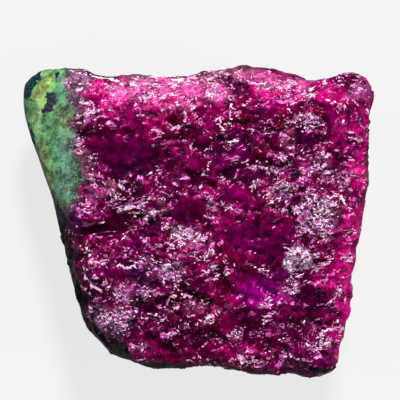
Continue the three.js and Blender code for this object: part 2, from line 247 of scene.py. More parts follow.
RUBY_TINTS = {
    "dark wine": ("3a0020", [
        (-5.0, -7.0, 7.0, 7.0, 0, 0.6), (4.0, -12.0, 10.0, 3.4, 0, 0.5), (-10.4, -0.8, 3.0, 1.1, 0, 1),
        (-10.0, 8.9, 1.6, 1.2, 0, 0.6), (5.4, -10.6, 2.0, 1.0, 0, 0.9), (-2.5, -12.8, 1.8, 0.6, 0, 1),
        (9.4, -10.4, 1.8, 1.1, 0, 0.8), (-3.0, -7.6, 1.6, 1.0, 0, 0.6), (-11.0, -8.6, 1.2, 1.8, -15, 0.8),
        (-4.6, 7.4, 1.1, 0.9, 0, 0.8), (-6.4, 3.6, 1.2, 0.9, 0, 0.7), (9.0, -13.6, 2.2, 1.0, 0, 0.6),
        (-5.4, -10.0, 1.2, 1.0, 0, 0.5), (12.0, -8.0, 1.4, 1.2, 0, 0.5),
    ]),
    "crimson": ("66002a", [
        (4.4, 10.9, 1.5, 1.4, 0, 0.9), (8.0, 9.6, 1.3, 1.5, 0, 0.9), (6.6, 7.0, 1.4, 1.2, 0, 0.9),
        (-2.6, 9.6, 1.6, 1.1, 0, 0.9), (11.4, 11.6, 1.4, 1.2, 0, 0.7), (1.2, -8.4, 1.4, 0.9, 0, 0.8),
        (14.2, 1.6, 1.2, 0.8, 0, 0.7), (13.2, -3.8, 1.0, 0.8, 0, 0.6), (2.0, -1.5, 1.6, 1.4, 0, 0.5),
        (13.6, 7.6, 1.0, 1.0, 0, 0.6), (3.4, -3.4, 2.1, 0.9, 0, 0.8), (2.0, -7.0, 1.6, 1.3, 0, 0.7),
    ]),
    "dark purple": ("420034", [
        (-7.2, 6.0, 3.4, 1.9, 0, 0.9), (1.8, 6.8, 1.1, 1.1, 0, 0.9), (8.4, -2.8, 1.3, 1.1, 0, 0.9),
        (10.6, 8.7, 1.4, 1.3, 0, 1), (-10.6, -7.4, 1.2, 1.0, 0, 0.8), (-1.8, 4.2, 2.6, 0.9, 0, 0.7),
        (11.8, -8.0, 1.7, 1.3, 0, 0.7), (14.4, 7.4, 0.9, 1.5, 0, 0.5), (6.2, 11.0, 1.0, 1.2, 0, 0.5),
        (-1.3, 0.9, 1.5, 1.2, 0, 0.6),
    ]),
    "purple": ("640046", [
        (5.8, -1.6, 2.6, 2.2, 0, 1), (4.2, 7.4, 1.5, 1.0, 0, 0.7), (4.2, 2.6, 1.6, 1.3, 0, 0.8),
        (-9.6, 5.4, 1.4, 1.6, 0, 0.35), (14.0, 9.6, 1.1, 1.5, 0, 0.8), (-5.0, -0.4, 1.6, 0.8, 0, 0.6),
        (12.4, -13.2, 1.8, 1.2, 0, 0.8), (3.2, -0.4, 1.4, 1.2, 0, 0.6), (-2.0, 6.4, 1.6, 0.8, 0, 0.6),
    ]),
    "violet glow": ("960080", [
        (6.5, -7.0, 2.1, 1.3, 0, 1), (-6.0, -2.0, 1.2, 0.7, 0, 0.35), (-9.6, -5.0, 1.2, 0.8, 0, 0.25),
        (8.0, -5.4, 1.2, 0.8, 0, 0.4),
    ]),
    # Along the right rim, the magenta marks are painted glow of light through the thin edge, over the ruby's
    # own magenta.
    "magenta": ("b80072", [
        (4.4, -12.9, 2.2, 1.1, 0, 0.4), (-0.9, -3.6, 2.3, 1.5, 0, 0.45), (14.6, -1.6, 1.2, 1.6, 0, 0.8),
        (13.4, -5.4, 1.6, 1.6, 0, 0.7), (3.0, 1.0, 1.6, 1.0, 0, 0.5), (1.6, 3.6, 1.4, 1.0, 0, 0.6),
        (15.0, -6.0, 1.2, 5.4, 4, 0.85), (16.4, 9.4, 1.0, 2.6, 0, 0.35), (1.0, 9.4, 1.4, 0.9, 0, 0.35),
        (14.2, 9.2, 0.9, 1.6, 0, 0.45), (15.8, 0.6, 1.0, 2.4, 4, 0.8), (14.4, -12.4, 0.7, 2.0, 4, 0.7),
        (1.0, 11.0, 2.4, 0.9, 0, 0.5), (-5.0, 9.8, 1.6, 0.8, 0, 0.2), (4.2, 2.6, 1.4, 1.1, 0, 0.35),
        (2.0, -7.2, 1.3, 0.9, 0, 0.3), (9.0, -9.0, 1.3, 0.8, 0, 0.25), (2.0, -10.6, 1.4, 0.8, 0, 0.3),
    ]),
    # The bright magenta and bright pink marks on the top band and at the right rim are painted glow of light
    # through the thin edges, over the ruby's own colour.
    "bright magenta": ("cc007a", [
        (13.2, 13.0, 2.4, 1.1, -6, 0.6), (16.2, 5.0, 0.9, 1.8, 4, 0.7), (7.2, 13.2, 2.0, 1.4, 0, 0.9),
        (-10.8, 13.3, 1.8, 1.0, 0, 0.8), (-8.6, 12.4, 1.3, 0.9, 0, 1), (-4.0, 12.0, 2.6, 0.8, 0, 0.8),
        (9.8, 13.0, 1.6, 1.0, 0, 0.8), (-1.6, 13.6, 2.2, 1.2, 0, 0.9),
    ]),
    "bright pink": ("f05cb0", [
        (-6.4, 13.5, 2.4, 1.1, 0, 0.95), (-3.6, 13.4, 1.4, 1.0, 0, 0.7), (-0.8, 13.4, 1.6, 1.0, 0, 0.9),
        (5.6, 14.7, 2.6, 0.6, 0, 0.5), (9.6, 14.0, 1.4, 0.6, 0, 0.5), (1.7, 13.2, 1.3, 1.0, 0, 0.9),
        (16.4, 13.0, 0.8, 0.8, 0, 0.5), (-1.2, 11.8, 1.6, 0.5, 10, 0.5),
    ]),
    "grey violet": ("75456e", [
        (-5.8, -6.0, 1.2, 1.6, 0, 0.35), (12.2, 0.6, 2.0, 1.8, 0, 0.6), (-6.0, -12.6, 1.2, 0.8, 0, 0.4),
        (-9.0, -10.2, 1.8, 1.3, 0, 0.6), (13.2, 5.2, 1.6, 1.0, -30, 0.5), (9.4, -6.6, 0.9, 0.7, 0, 0.5),
        (-5.4, -4.2, 1.0, 0.6, 0, 0.5), (-10.6, 2.6, 0.8, 0.8, 0, 0.5),
    ]),
    "pale lilac": ("9a78a6", [
        (-9.0, -10.2, 1.9, 1.3, 0, 0.5), (-7.6, -7.2, 1.0, 0.6, -40, 0.4), (12.2, 0.4, 1.7, 1.4, 0, 0.3),
        (-2.8, -4.8, 1.3, 0.6, 0, 0.6), (-1.3, -1.2, 1.4, 0.7, -12, 0.5), (8.3, 3.0, 1.0, 0.7, 0, 0.4),
    ]),
    "orchid": ("a0509c", [(16.6, 13.4, 1.1, 1.0, 0, 0.55)]),
    "deep violet": ("360c48", [
        (-12.4, 0.6, 0.8, 1.6, 0, 0.7), (-6.2, -4.8, 0.9, 0.8, 0, 0.7), (-5.6, -6.4, 0.6, 0.9, 0, 0.5),
    ]),
    "dusty rose": ("94606a", [
        (-8.7, 3.3, 0.9, 0.8, 0, 0.4), (8.9, 8.6, 0.7, 1.1, -20, 0.2), (-3.6, 1.4, 0.5, 0.9, 0, 0.3),
        (-0.4, -8.6, 0.9, 0.7, 0, 0.3), (-8.2, -8.8, 0.8, 0.4, 0, 0.4), (-2.6, -0.6, 0.9, 0.4, 0, 0.3),
        (-11.6, 10.4, 0.7, 0.5, 0, 0.5), (3.0, 15.2, 3.0, 0.5, 4, 0.6), (-6.0, 15.0, 3.0, 0.4, -6, 0.6),
    ]),
}
ZOISITE_TINTS = {
    "pale green": ("92c47c", [
        (-16.1, 11.0, 0.9, 1.6, 0, 0.9), (-15.9, 15.4, 1.3, 0.4, 0, 0.6), (-16.3, 9.4, 0.6, 1.0, 15, 0.7),
        (-15.2, 13.6, 0.5, 0.8, 0, 0.5),
    ]),
    "leaf green": ("429a58", [(-15.1, 9.7, 0.5, 1.6, -8, 1), (-14.9, 7.4, 0.7, 1.1, 0, 0.7)]),
    "yellow green": ("b6ca5a", [
        (-15.7, 13.9, 1.4, 0.6, 65, 1), (-16.4, 12.8, 0.5, 0.5, 0, 0.9), (-15.9, 12.0, 0.5, 0.4, 0, 0.4),
    ]),
    "olive": ("84965e", [
        (-15.7, 6.3, 0.5, 1.9, 15, 0.9), (-15.1, 4.2, 0.55, 1.5, 12, 0.8), (-13.4, 9.6, 0.6, 0.8, 0, 0.7),
    ]),
    "sea green": ("62a084", [
        (-13.6, 7.3, 0.9, 1.4, 0, 1), (-13.5, 5.3, 0.9, 1.3, 0, 1), (-13.6, 14.0, 0.6, 1.3, 0, 0.8),
        (-13.9, 3.2, 0.7, 1.4, 0, 1),
    ]),
    "slate green": ("466656", [
        # The slate green strip along the far left outline is painted shade.
        (-12.7, 4.4, 0.8, 1.3, 0, 0.9), (-13.6, 2.0, 0.9, 0.9, 0, 0.6), (-17.6, 11.4, 0.3, 1.5, 4, 0.7),
        (-12.9, 6.6, 0.4, 0.8, 0, 0.5),
    ]),
    "dark olive": ("343c26", [
        (-13.7, 11.4, 0.9, 0.9, 0, 0.75), (-14.8, 1.9, 0.5, 1.2, 12, 0.8), (-12.8, 12.8, 0.4, 0.9, 0, 0.8),
        (-14.4, 0.6, 1.0, 0.9, 0, 1), (-12.9, 9.8, 0.3, 1.0, 0, 0.6), (-14.6, 1.4, 1.0, 1.5, 12, 0.9),
        (-13.2, 1.2, 0.7, 1.0, 0, 0.8),
    ]),
}
SEAM_TINTS = {
    "grey mauve": ("937a92", [
        (-11.8, 7.0, 0.3, 1.2, 0, 0.5), (-11.2, 5.8, 0.3, 1.2, 15, 0.35), (-12.2, 14.4, 0.9, 1.2, 0, 0.8),
        (-12.0, 11.4, 0.3, 1.4, 0, 0.3), (-10.9, 4.0, 0.3, 0.8, 0, 0.25),
    ]),
}
# Pargasite spots. The long marks along the left and bottom outline are painted shade on the stone's dark rim,
# which is partly pargasite.
PARGASITE_AND_RIM_SHADE = [
    (9.8, 4.9, 0.45, 0.5, 0, 0.95), (9.3, 1.3, 0.3, 0.8, 0, 0.95), (1.5, 6.9, 0.35, 0.35, 0, 0.8),
    (-6.0, 3.6, 0.8, 0.6, 0, 0.5), (17.2, 7.5, 0.3, 0.25, 0, 1), (-5.9, -8.0, 0.5, 0.7, 0, 0.6),
    (-4.6, -3.2, 1.0, 0.5, 0, 0.45), (-5.8, 4.9, 0.3, 0.5, 0, 0.7), (12.1, -7.0, 0.5, 0.7, 0, 0.6),
    (16.9, 14.2, 0.5, 0.25, 0, 0.6), (-8.9, 2.3, 0.4, 0.2, 0, 0.6), (-8.0, -12.8, 1.6, 0.9, -30, 1),
    (-10.6, -11.0, 1.5, 0.7, -50, 1), (-12.0, -8.0, 2.6, 0.5, -78, 1), (-13.2, -3.6, 2.4, 0.6, -76, 1),
    (-14.0, 0.0, 2.0, 0.6, -78, 0.8), (-5.0, -14.6, 3.4, 0.4, -3, 0.9), (12.4, -15.0, 2.4, 0.3, 0, 0.9),
    (-14.7, 12.7, 0.75, 0.6, 0, 1), (-15.3, 11.8, 0.6, 0.4, 45, 1), (-14.2, 14.9, 0.2, 0.5, 0, 1),
    (-17.4, 13.8, 0.75, 1.4, -30, 1), (-16.7, 14.9, 0.6, 0.6, 40, 1), (-16.9, 12.6, 0.15, 0.15, 0, 1),
    (-17.3, 9.7, 0.18, 0.25, 0, 1), (-17.0, 8.6, 0.25, 0.7, 15, 0.7), (-13.9, 11.9, 0.3, 0.3, 0, 0.8),
    (-14.2, -0.6, 0.9, 1.0, 0, 0.9),
]
# White marks: the crest along the upper edge in two lengths, two open cracks and two raised slivers. On the
# crest and the slivers the white is a painted highlight; the cracks are crushed white. Only the inner third
# of each of these marks shows.
HIGHLIGHTS_AND_CRACKS = [
    (-9.4, 14.55, 18.0, 0.7, -13, 1), (-2.0, 14.4, 5.0, 0.6, 0, 1), (6.2, -4.7, 7.0, 0.6, -14, 0.985),
    (13.4, 12.3, 5.0, 0.6, -26, 0.98), (3.5, 8.3, 2.6, 0.6, 24, 1), (0.9, -9.5, 3.0, 0.6, 20, 0.98),
]
# One grain that is cracked through, and the small hollow in it.
CRACKED_GRAIN = (10.1, -3.7, 1.25, 1.15, 0, 1)
ITS_HOLLOW = (10.05, -3.3, 0.3, 0.25, 0, 1)


def tinted(base, tints):
    """Lays each tint over the base colours, where its marks lie."""
    for code, marks in tints.values():
        share = marked(marks, 0.55)[:, None]
        base = base * (1 - share) + colour(code) * share
    return base


# Under the tints, ruby drifts between two depths and towards blue, and zoisite between two greens.
depth = ramp(field(3.0, 7, 3), -0.5, 0.5)[:, None]
ruby = colour("50002c") * (1 - depth) + colour("860050") * depth
bluer = ramp(field(4.5, 8), 0.0, 0.6)[:, None] * 0.6
ruby = np.array([1.12, 1.0, 1.04]) * tinted(ruby * (1 - bluer) + colour("580044") * bluer, RUBY_TINTS)
leaf = ramp(field(2.2, 9, 3), -0.5, 0.5)[:, None]
green = 0.92 * tinted(colour("3c8a58") * (1 - leaf) + colour("68b262") * leaf, ZOISITE_TINTS)

# The seam lies along the line, and towards the back pargasite gathers beside it.
past = place[:, 0] - line
seam = ramp(past, -0.8, 0.0) * (1 - ramp(past, 0.15, 0.8))
tint = ruby * (1 - zoisite[:, None]) + green * zoisite[:, None]
shade = 0.75 * seam[:, None]
tint = tinted(tint * (1 - shade) + colour("5a4a56") * shade, SEAM_TINTS)
beside = ramp(past, -2.5, 0) * (1 - ramp(past, 0, 2.5)) * hidden
pargasite_and_rim_shade = np.maximum(marked(PARGASITE_AND_RIM_SHADE, 0.35), beside * ramp(field(1.5, 10, 3), 0.1, 0.4))


def attribute(name, values):
    """Keeps one number for each vertex of the skin, for the material to read."""
    stone_mesh.attributes.new(name, "FLOAT", "POINT").data.foreach_set("value", values.astype(np.float32))


attribute("frost", frost * (1 - pargasite_and_rim_shade))
attribute("window", window)
attribute("hollow_shade", hollow_shade)
attribute("zoisite", zoisite)
attribute("seam", seam)
attribute("pargasite_and_rim_shade", pargasite_and_rim_shade)
highlight_and_crack = marked(HIGHLIGHTS_AND_CRACKS, 1.0, 0.25) / np.maximum(front, 0.2)
attribute("highlight_and_crack", np.minimum(highlight_and_crack, 1) * ramp(away[:, 2], 0.15, 0.4))
attribute("cracked", marked([CRACKED_GRAIN], 0.15) * (1 - marked([ITS_HOLLOW], 0.4, 0.1)))
tint_layer = stone_mesh.attributes.new("tint", "FLOAT_COLOR", "POINT")
tint_layer.data.foreach_set("color", np.hstack([tint, np.ones((count, 1))]).astype(np.float32).ravel())

# The helpers below add to whichever tree nodes and links belong to, and noise lies on where by default.
STONE_IOR = 1.65
stone_material = bpy.data.materials.new("ruby_in_zoisite")
stone_material.use_nodes = True
nodes = stone_material.node_tree.nodes
links = stone_material.node_tree.links
shader = nodes["Principled BSDF"]
shader.inputs["IOR"].default_value = STONE_IOR
shader.inputs["Specular IOR Level"].default_value = 0.18
shader.inputs["Specular Tint"].default_value = (1.0, 0.22, 0.7, 1)
where = nodes.new("ShaderNodeTexCoord").outputs["Object"]


def link(value, socket):
    """Joins a socket to another one, or sets it to a plain number or colour."""
    if isinstance(value, bpy.types.NodeSocket):
        links.new(value, socket)
    else:
        socket.default_value = value


def read(name, output="Fac"):
    """One of the mesh's own attributes."""
    node = nodes.new("ShaderNodeAttribute")
    node.attribute_name = name
    return node.outputs[output]


def mix(factor, first, second, blend="MIX"):
    """Goes from the first colour to the second with the factor, or to their product if blend is MULTIPLY."""
    node = nodes.new("ShaderNodeMix")
    node.data_type = "RGBA"
    node.blend_type = blend
    link(factor, node.inputs[0])
    link(first, node.inputs[6])
    link(second, node.inputs[7])
    return node.outputs[2]


def maths(operation, first, second=0.0, third=0.0):
    """A sum on numbers. MULTIPLY_ADD is first times second, plus third."""
    node = nodes.new("ShaderNodeMath")
    node.operation = operation
    for value, socket in zip((first, second, third), node.inputs):
        link(value, socket)
    return node.outputs[0]


def arrow(operation, first, second):
    """A sum on vectors or colours."""
    node = nodes.new("ShaderNodeVectorMath")
    node.operation = operation
    link(first, node.inputs[0])
    link(second, node.inputs["Scale"] if operation == "SCALE" else node.inputs[1])
    return node.outputs[0]


def grain(size, detail=2.0, distortion=0.0, vector=None, output="Fac"):
    """Noise with grains of about the given size in millimetres."""
    node = nodes.new("ShaderNodeTexNoise")
    node.inputs["Scale"].default_value = 1 / (size * MM)
    node.inputs["Detail"].default_value = detail
    node.inputs["Distortion"].default_value = distortion
    links.new(where if vector is None else vector, node.inputs["Vector"])
    return node.outputs[output]


def between(value, low, high, start=0.0, end=1.0):
    """Goes smoothly from start to end while the value goes from low to high."""
    node = nodes.new("ShaderNodeMapRange")
    node.interpolation_type = "SMOOTHSTEP"
    for source, socket in zip((value, low, high, start, end), node.inputs):
        link(source, socket)
    return node.outputs[0]


def cells(size, vector):
    """Cells of about the given size in millimetres: distance from the middle, and a random colour."""
    node = nodes.new("ShaderNodeTexVoronoi")
    node.inputs["Scale"].default_value = 1 / (size * MM)
    links.new(vector, node.inputs["Vector"])
    return node.outputs["Distance"], node.outputs["Color"]


# Size in millimetres of the nicks in a shard's edge.
RAGGED_EDGE = 0.14


def shards(size, vector):
    """Shards of about the given size in millimetres.

    Gives the nearness to a shard's upper rim, for a painted highlight, and to its foot, for a painted
    shadow, and two random numbers of its own.
    """
    node = nodes.new("ShaderNodeTexVoronoi")
    node.inputs["Scale"].default_value = 1 / (size * MM)
    links.new(vector, node.inputs["Vector"])
    offset = nodes.new("ShaderNodeSeparateXYZ")
    links.new(arrow("SUBTRACT", vector, node.outputs["Position"]), offset.inputs[0])
    across = maths("DIVIDE", offset.outputs["X"], size * MM)
    up = maths("DIVIDE", offset.outputs["Y"], size * MM)
    ragged = maths("MULTIPLY_ADD", grain(RAGGED_EDGE), 0.7, -0.35)
    arched = maths("MULTIPLY_ADD", maths("MULTIPLY", across, across), 0.6, maths("ADD", up, ragged))
    own = nodes.new("ShaderNodeSeparateXYZ")
    links.new(node.outputs["Color"], own.inputs[0])
    return between(arched, 0.14, 0.22), between(up, -0.08, -0.25), own.outputs["X"], own.outputs["Y"]


# Sizes of the swirls in the stone's grain, and how far each carries it, in millimetres.
BROAD_SWIRL = (5.0, 3.2)
FINE_WANDER = (0.5, 0.7)


def along_the_grain(vector):
    """Coordinates in which shards lie longer along X than across, on lines that swirl and wander."""
    for size, reach in (BROAD_SWIRL, FINE_WANDER):
        wander = arrow("SUBTRACT", grain(size, 1.0, vector=vector, output="Color"), (0.5, 0.5, 0.5))
        vector = arrow("ADD", vector, arrow("SCALE", wander, reach * MM))
    return arrow("MULTIPLY", vector, (0.62, 1.0, 1.0))


def streaked(patches, vector):
    """The frosted patches, broken into streaks."""
    streaks = maths("SUBTRACT", grain(1.0, 4.0, 0.5, vector), 0.5)
    broken_up = between(maths("MULTIPLY_ADD", streaks, 2.6, patches), 0.25, 0.9)
    return maths("MULTIPLY", broken_up, between(patches, 0.0, 0.15))


flat = along_the_grain(where)
glassy = read("window")
is_zoisite = read("zoisite")
is_ruby = maths("SUBTRACT", 1.0, is_zoisite)
is_seam = read("seam")
in_shaded_hollow = read("hollow_shade")
frosted = streaked(read("frost"), flat)
not_glassy = maths("MULTIPLY_ADD", glassy, -0.9, 1.0)
crushed_and_lit = maths("MULTIPLY", not_glassy, maths("MULTIPLY_ADD", in_shaded_hollow, -0.9, 1.3))

# Colour under the grain: mottled by swells of a millimetre and of a quarter, and darkened in the hollows as
# painted shade. The brightest ruby is the most even.
DEEPENING_AND_SHADE = (0.16, 0.1, 0.14, 1)
FROSTED_RUBY = (0.42, 0.08, 0.3, 1)
laid = read("tint", "Color")
channels = nodes.new("ShaderNodeSeparateXYZ")
links.new(laid, channels.inputs[0])
redness = channels.outputs["X"]
even = maths("MULTIPLY", between(redness, 0.3, 0.65, 0.0, 0.4), is_ruby)
# A darker copy of the tint: deeper ruby in holes and gaps, and painted shadow at the shards' feet.
deep = mix(1.0, laid, DEEPENING_AND_SHADE, "MULTIPLY")
swells = between(grain(0.9, 3.0), 0.32, 0.72, 0.3, 1.2)
mottle = maths("MULTIPLY", swells, between(grain(0.25), 0.3, 0.7, 0.8, 1.3))
mottle = maths("MULTIPLY", mottle, maths("MULTIPLY_ADD", maths("MULTIPLY", in_shaded_hollow, is_ruby), -0.6, 1.0))
mottle = maths("MULTIPLY_ADD", maths("SUBTRACT", 0.9, mottle), even, mottle)
body = mix(1.0, laid, mottle, "MULTIPLY")
body = arrow("SCALE", body, maths("MULTIPLY_ADD", frosted, 0.8, 1.0))
body = mix(between(frosted, 0.6, 1.0, 0.0, 0.4), body, FROSTED_RUBY)
holes = maths("MULTIPLY", frosted, between(grain(0.8, 3.0, vector=flat), 0.57, 0.45, 0.0, 0.8))
body = mix(holes, body, deep)
# The brightest ruby is sugary all through: pale granules of a quarter of a millimetre with deeper gaps.
SUGAR_PINK = (0.87, 0.22, 0.52, 1)
sugar = grain(0.25, 2.0, 0.8, flat)
sugared = maths("MULTIPLY", between(redness, 0.45, 0.7, 0.0, 0.8), is_ruby)
body = mix(maths("MULTIPLY", sugared, between(sugar, 0.52, 0.6)), body, SUGAR_PINK)
body = mix(maths("MULTIPLY", sugared, between(sugar, 0.49, 0.4, 0.0, 0.65)), body, deep)
# Each shard of ruby has a pale upper rim, on the side towards the key light, which is partly crushed ruby and
# partly a painted highlight, and a dark foot, which is painted shadow. The rims are thick on the frosted
# patches, thin out around them, gather along the ledges, and are rare on the glassy windows.
SHARDS_AND_RIMS = ((0.55, 1.3), (0.32, 1.1), (0.2, 0.2))
COOL_PINK = (0.6, 0.1, 0.44, 1)
WARM_PINK = (0.67, 0.12, 0.36, 1)
COOL_WHITE = (0.98, 0.68, 0.9, 1)
WARM_WHITE = (1.0, 0.74, 0.76, 1)
ledge = between(grain(1.4, 2.0, vector=flat), 0.5, 0.7, 0.03, 0.36)
warm = between(grain(2.2, 1.0), 0.5, 0.7)
pink_rim = mix(warm, COOL_PINK, WARM_PINK)
white_rim = mix(warm, COOL_WHITE, WARM_WHITE)
for size, thick in SHARDS_AND_RIMS:
    lit_rim, shaded_foot, own, other = shards(size, flat)
    share = maths("MULTIPLY", between(frosted, 0.0, 0.9, ledge, 0.68), maths("MULTIPLY", crushed_and_lit, thick))
    chosen = between(own, maths("SUBTRACT", 1.0, share), maths("SUBTRACT", 1.06, share))
    foot_shadow = maths("MULTIPLY", maths("MAXIMUM", frosted, chosen), maths("MULTIPLY", shaded_foot, is_ruby))
    body = mix(maths("MULTIPLY", foot_shadow, 0.75), body, deep)
    strokes = maths("MULTIPLY", maths("MULTIPLY", lit_rim, chosen), is_ruby)
    whiteness = between(maths("MULTIPLY_ADD", frosted, 0.25, other), 0.3, 0.95)
    body = mix(strokes, body, mix(whiteness, pink_rim, white_rim))
# The painted highlights and the crushed-white cracks are drawn thin by letting only the crests of their marks
# through.
HIGHLIGHT_AND_CRACK_WHITE = (0.95, 0.82, 0.86, 1)
highlight_and_crack_line = between(maths("MULTIPLY_ADD", grain(0.5, 3.0), 0.15, read("highlight_and_crack")), 1.03, 1.05)
body = mix(highlight_and_crack_line, body, HIGHLIGHT_AND_CRACK_WHITE)
# One grain is cracked through and whitened: lilac-white blocks with dark joints.
BLOCK_SIZE = 0.75
BLOCK_LILAC = (0.36, 0.12, 0.3, 1)
BLOCK_WHITE = (0.95, 0.82, 0.95, 1)
JOINT_DARK = (0.08, 0.002, 0.05, 1)
joints = nodes.new("ShaderNodeTexVoronoi")
joints.feature = "DISTANCE_TO_EDGE"
joints.inputs["Scale"].default_value = 1 / (BLOCK_SIZE * MM)
links.new(arrow("MULTIPLY", flat, (1.5, 1.0, 1.0)), joints.inputs["Vector"])
block = mix(between(grain(0.2), 0.35, 0.65), BLOCK_LILAC, BLOCK_WHITE)
block = mix(between(joints.outputs["Distance"], 0.02, 0.1), JOINT_DARK, block)
body = mix(read("cracked"), body, block)
# Zoisite is clouded, salted with fine pale grains and peppered with dark ones, most of them along the seam.
CLOUD_GREEN = (0.22, 0.46, 0.2, 1)
SALT_GREEN = (0.32, 0.5, 0.32, 1)
SALT_MAUVE = (0.42, 0.3, 0.4, 1)
PEPPER_GREEN = (0.012, 0.022, 0.02, 1)
cloud = maths("MULTIPLY", is_zoisite, between(grain(0.7, 4.0, 0.6), 0.48, 0.7, 0.0, 0.4))
body = mix(cloud, body, CLOUD_GREEN)
green_or_seam = maths("MAXIMUM", is_zoisite, is_seam)
salt = maths("MULTIPLY", green_or_seam, between(grain(0.16, 2.0), 0.55, 0.68, 0.0, 0.6))
body = mix(salt, body, mix(is_seam, SALT_GREEN, SALT_MAUVE))
peppered = maths("MULTIPLY_ADD", is_seam, -0.15, grain(0.26, 4.0, 0.4))
pepper = maths("MULTIPLY", green_or_seam, between(peppered, 0.4, 0.3, 0.0, 0.85))
body = mix(pepper, body, PEPPER_GREEN)
# Pargasite spots, broken up by their own grain: nearly black in ruby, black and dark teal in zoisite. Along
# the left and bottom outline the same black is painted shade.
SPOT_IN_RUBY = (0.001, 0.004, 0.005, 1)
SPOT_BLACK = (0.0, 0.012, 0.014, 1)
SPOT_TEAL = (0.02, 0.16, 0.16, 1)
broken_spots = maths("ADD", read("pargasite_and_rim_shade"), between(grain(0.4, 3.0), 0.3, 0.7, -0.3, 0.3))
spot = mix(between(grain(0.18, 2.0), 0.5, 0.65, 0.0, 0.6), SPOT_BLACK, SPOT_TEAL)
body = mix(between(broken_spots, 0.4, 0.58), body, mix(is_zoisite, SPOT_IN_RUBY, spot))
links.new(body, shader.inputs["Base Color"])
wear = between(grain(0.5, 2.0), 0.35, 0.65, 0.1, 0.24)
matte = maths("MULTIPLY_ADD", glassy, 0.03, maths("MULTIPLY", is_zoisite, 0.25))
links.new(maths("ADD", wear, matte), shader.inputs["Roughness"])

# Every facet leans its own way and is hollowed a little, so that some flash and their neighbours stay dark.
LARGE_FACET = 0.6
SMALL_FACET = 0.26
DEEPEST_HOLLOW = 0.25
broken = between(maths("MULTIPLY_ADD", glassy, -0.7, frosted), -0.5, 0.9, 0.06, 1.0)
broken = maths("MULTIPLY", broken, between(is_zoisite, 0.0, 1.0, 1.0, 0.15))
facing = nodes.new("ShaderNodeNewGeometry").outputs["Normal"]
hollows = 0.0
for size, lean in ((LARGE_FACET, 0.42), (SMALL_FACET, 0.5)):
    from_middle, own = cells(size, flat)
    leaning = arrow("SCALE", arrow("SUBTRACT", own, (0.5, 0.5, 0.5)), maths("MULTIPLY", broken, lean))
    facing = arrow("ADD", facing, leaning)
    hollows = maths("MULTIPLY_ADD", maths("POWER", from_middle, 2.0), -size / LARGE_FACET, hollows)
unit = nodes.new("ShaderNodeVectorMath")
unit.operation = "NORMALIZE"
links.new(facing, unit.inputs[0])
bump = nodes.new("ShaderNodeBump")
bump.inputs["Distance"].default_value = DEEPEST_HOLLOW * MM
links.new(broken, bump.inputs["Strength"])
links.new(hollows, bump.inputs["Height"])
links.new(unit.outputs[0], bump.inputs["Normal"])
links.new(bump.outputs["Normal"], shader.inputs["Normal"])
stone_mesh.materials.append(stone_material)
for face in stone_mesh.polygons:
    face.use_smooth = True

stone = bpy.data.objects.new("ruby_in_zoisite_stone", stone_mesh)
bpy.context.scene.collection.objects.link(stone)
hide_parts("stone")
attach(stone, "root")

# The sugary grains: loose-edged grains of ruby that stand proud of the frosted patches. They are flat, with
# six sides, each about a third of a millimetre long, and they have grown into the skin, leaning every way.
PLATE_SIDES = 6
PLATE_RADIUS = 0.12
PLATES_PER_SQUARE_MM = 5.0
PLATE_SEED = 7
BRIGHTENING = (1.8, 1.8, 1.8, 1)
PLATE_PINK = (0.62, 0.14, 0.4, 1)
PLATE_WHITE = (0.97, 0.7, 0.88, 1)
grain_material = bpy.data.materials.new("sugary_ruby_grains")
grain_material.use_nodes = True
nodes = grain_material.node_tree.nodes
links = grain_material.node_tree.links
grain_shader = nodes["Principled BSDF"]
grain_shader.inputs["IOR"].default_value = STONE_IOR
grain_shader.inputs["Specular IOR Level"].default_value = 0.3
grain_shader.inputs["Specular Tint"].default_value = (1.0, 0.6, 0.9, 1)
where = nodes.new("ShaderNodeTexCoord").outputs["Object"]
own = read("own")
lit = mix(1.0, read("tint", "Color"), BRIGHTENING, "MULTIPLY")
lit = mix(between(own, 0.0, 0.5), lit, PLATE_PINK)
lit = mix(between(own, 0.35, 0.65), lit, PLATE_WHITE)
mottle = between(grain(0.1), 0.3, 0.7, 0.75, 1.2)
links.new(mix(1.0, lit, mottle, "MULTIPLY"), grain_shader.inputs["Base Color"])
links.new(between(own, 0.0, 1.0, 0.15, 0.35), grain_shader.inputs["Roughness"])

tree = bpy.data.node_groups.new("sugary_grains", "GeometryNodeTree")
TREE_INPUTS = {"Skin": "Geometry", "Density": "Float", "Plate Radius": "Float", "Seed": "Int"}
sockets = {}
for name, kind in TREE_INPUTS.items():
    sockets[name] = tree.interface.new_socket(name, in_out="INPUT", socket_type="NodeSocket" + kind)
tree.interface.new_socket("Grains", in_out="OUTPUT", socket_type="NodeSocketGeometry")
nodes = tree.nodes
links = tree.links
given = nodes.new("NodeGroupInput").outputs


def random_value(kind, low, high, seed_shift):
    """A random number or vector for each plate, with a seed of its own."""
    node = nodes.new("FunctionNodeRandomValue")
    node.data_type = kind
    lowest, highest, result = {"FLOAT": (2, 3, 1), "FLOAT_VECTOR": (0, 1, 0)}[kind]
    node.inputs[lowest].default_value = low
    node.inputs[highest].default_value = high
    links.new(maths("ADD", given["Seed"], seed_shift), node.inputs["Seed"])
    return node.outputs[result]


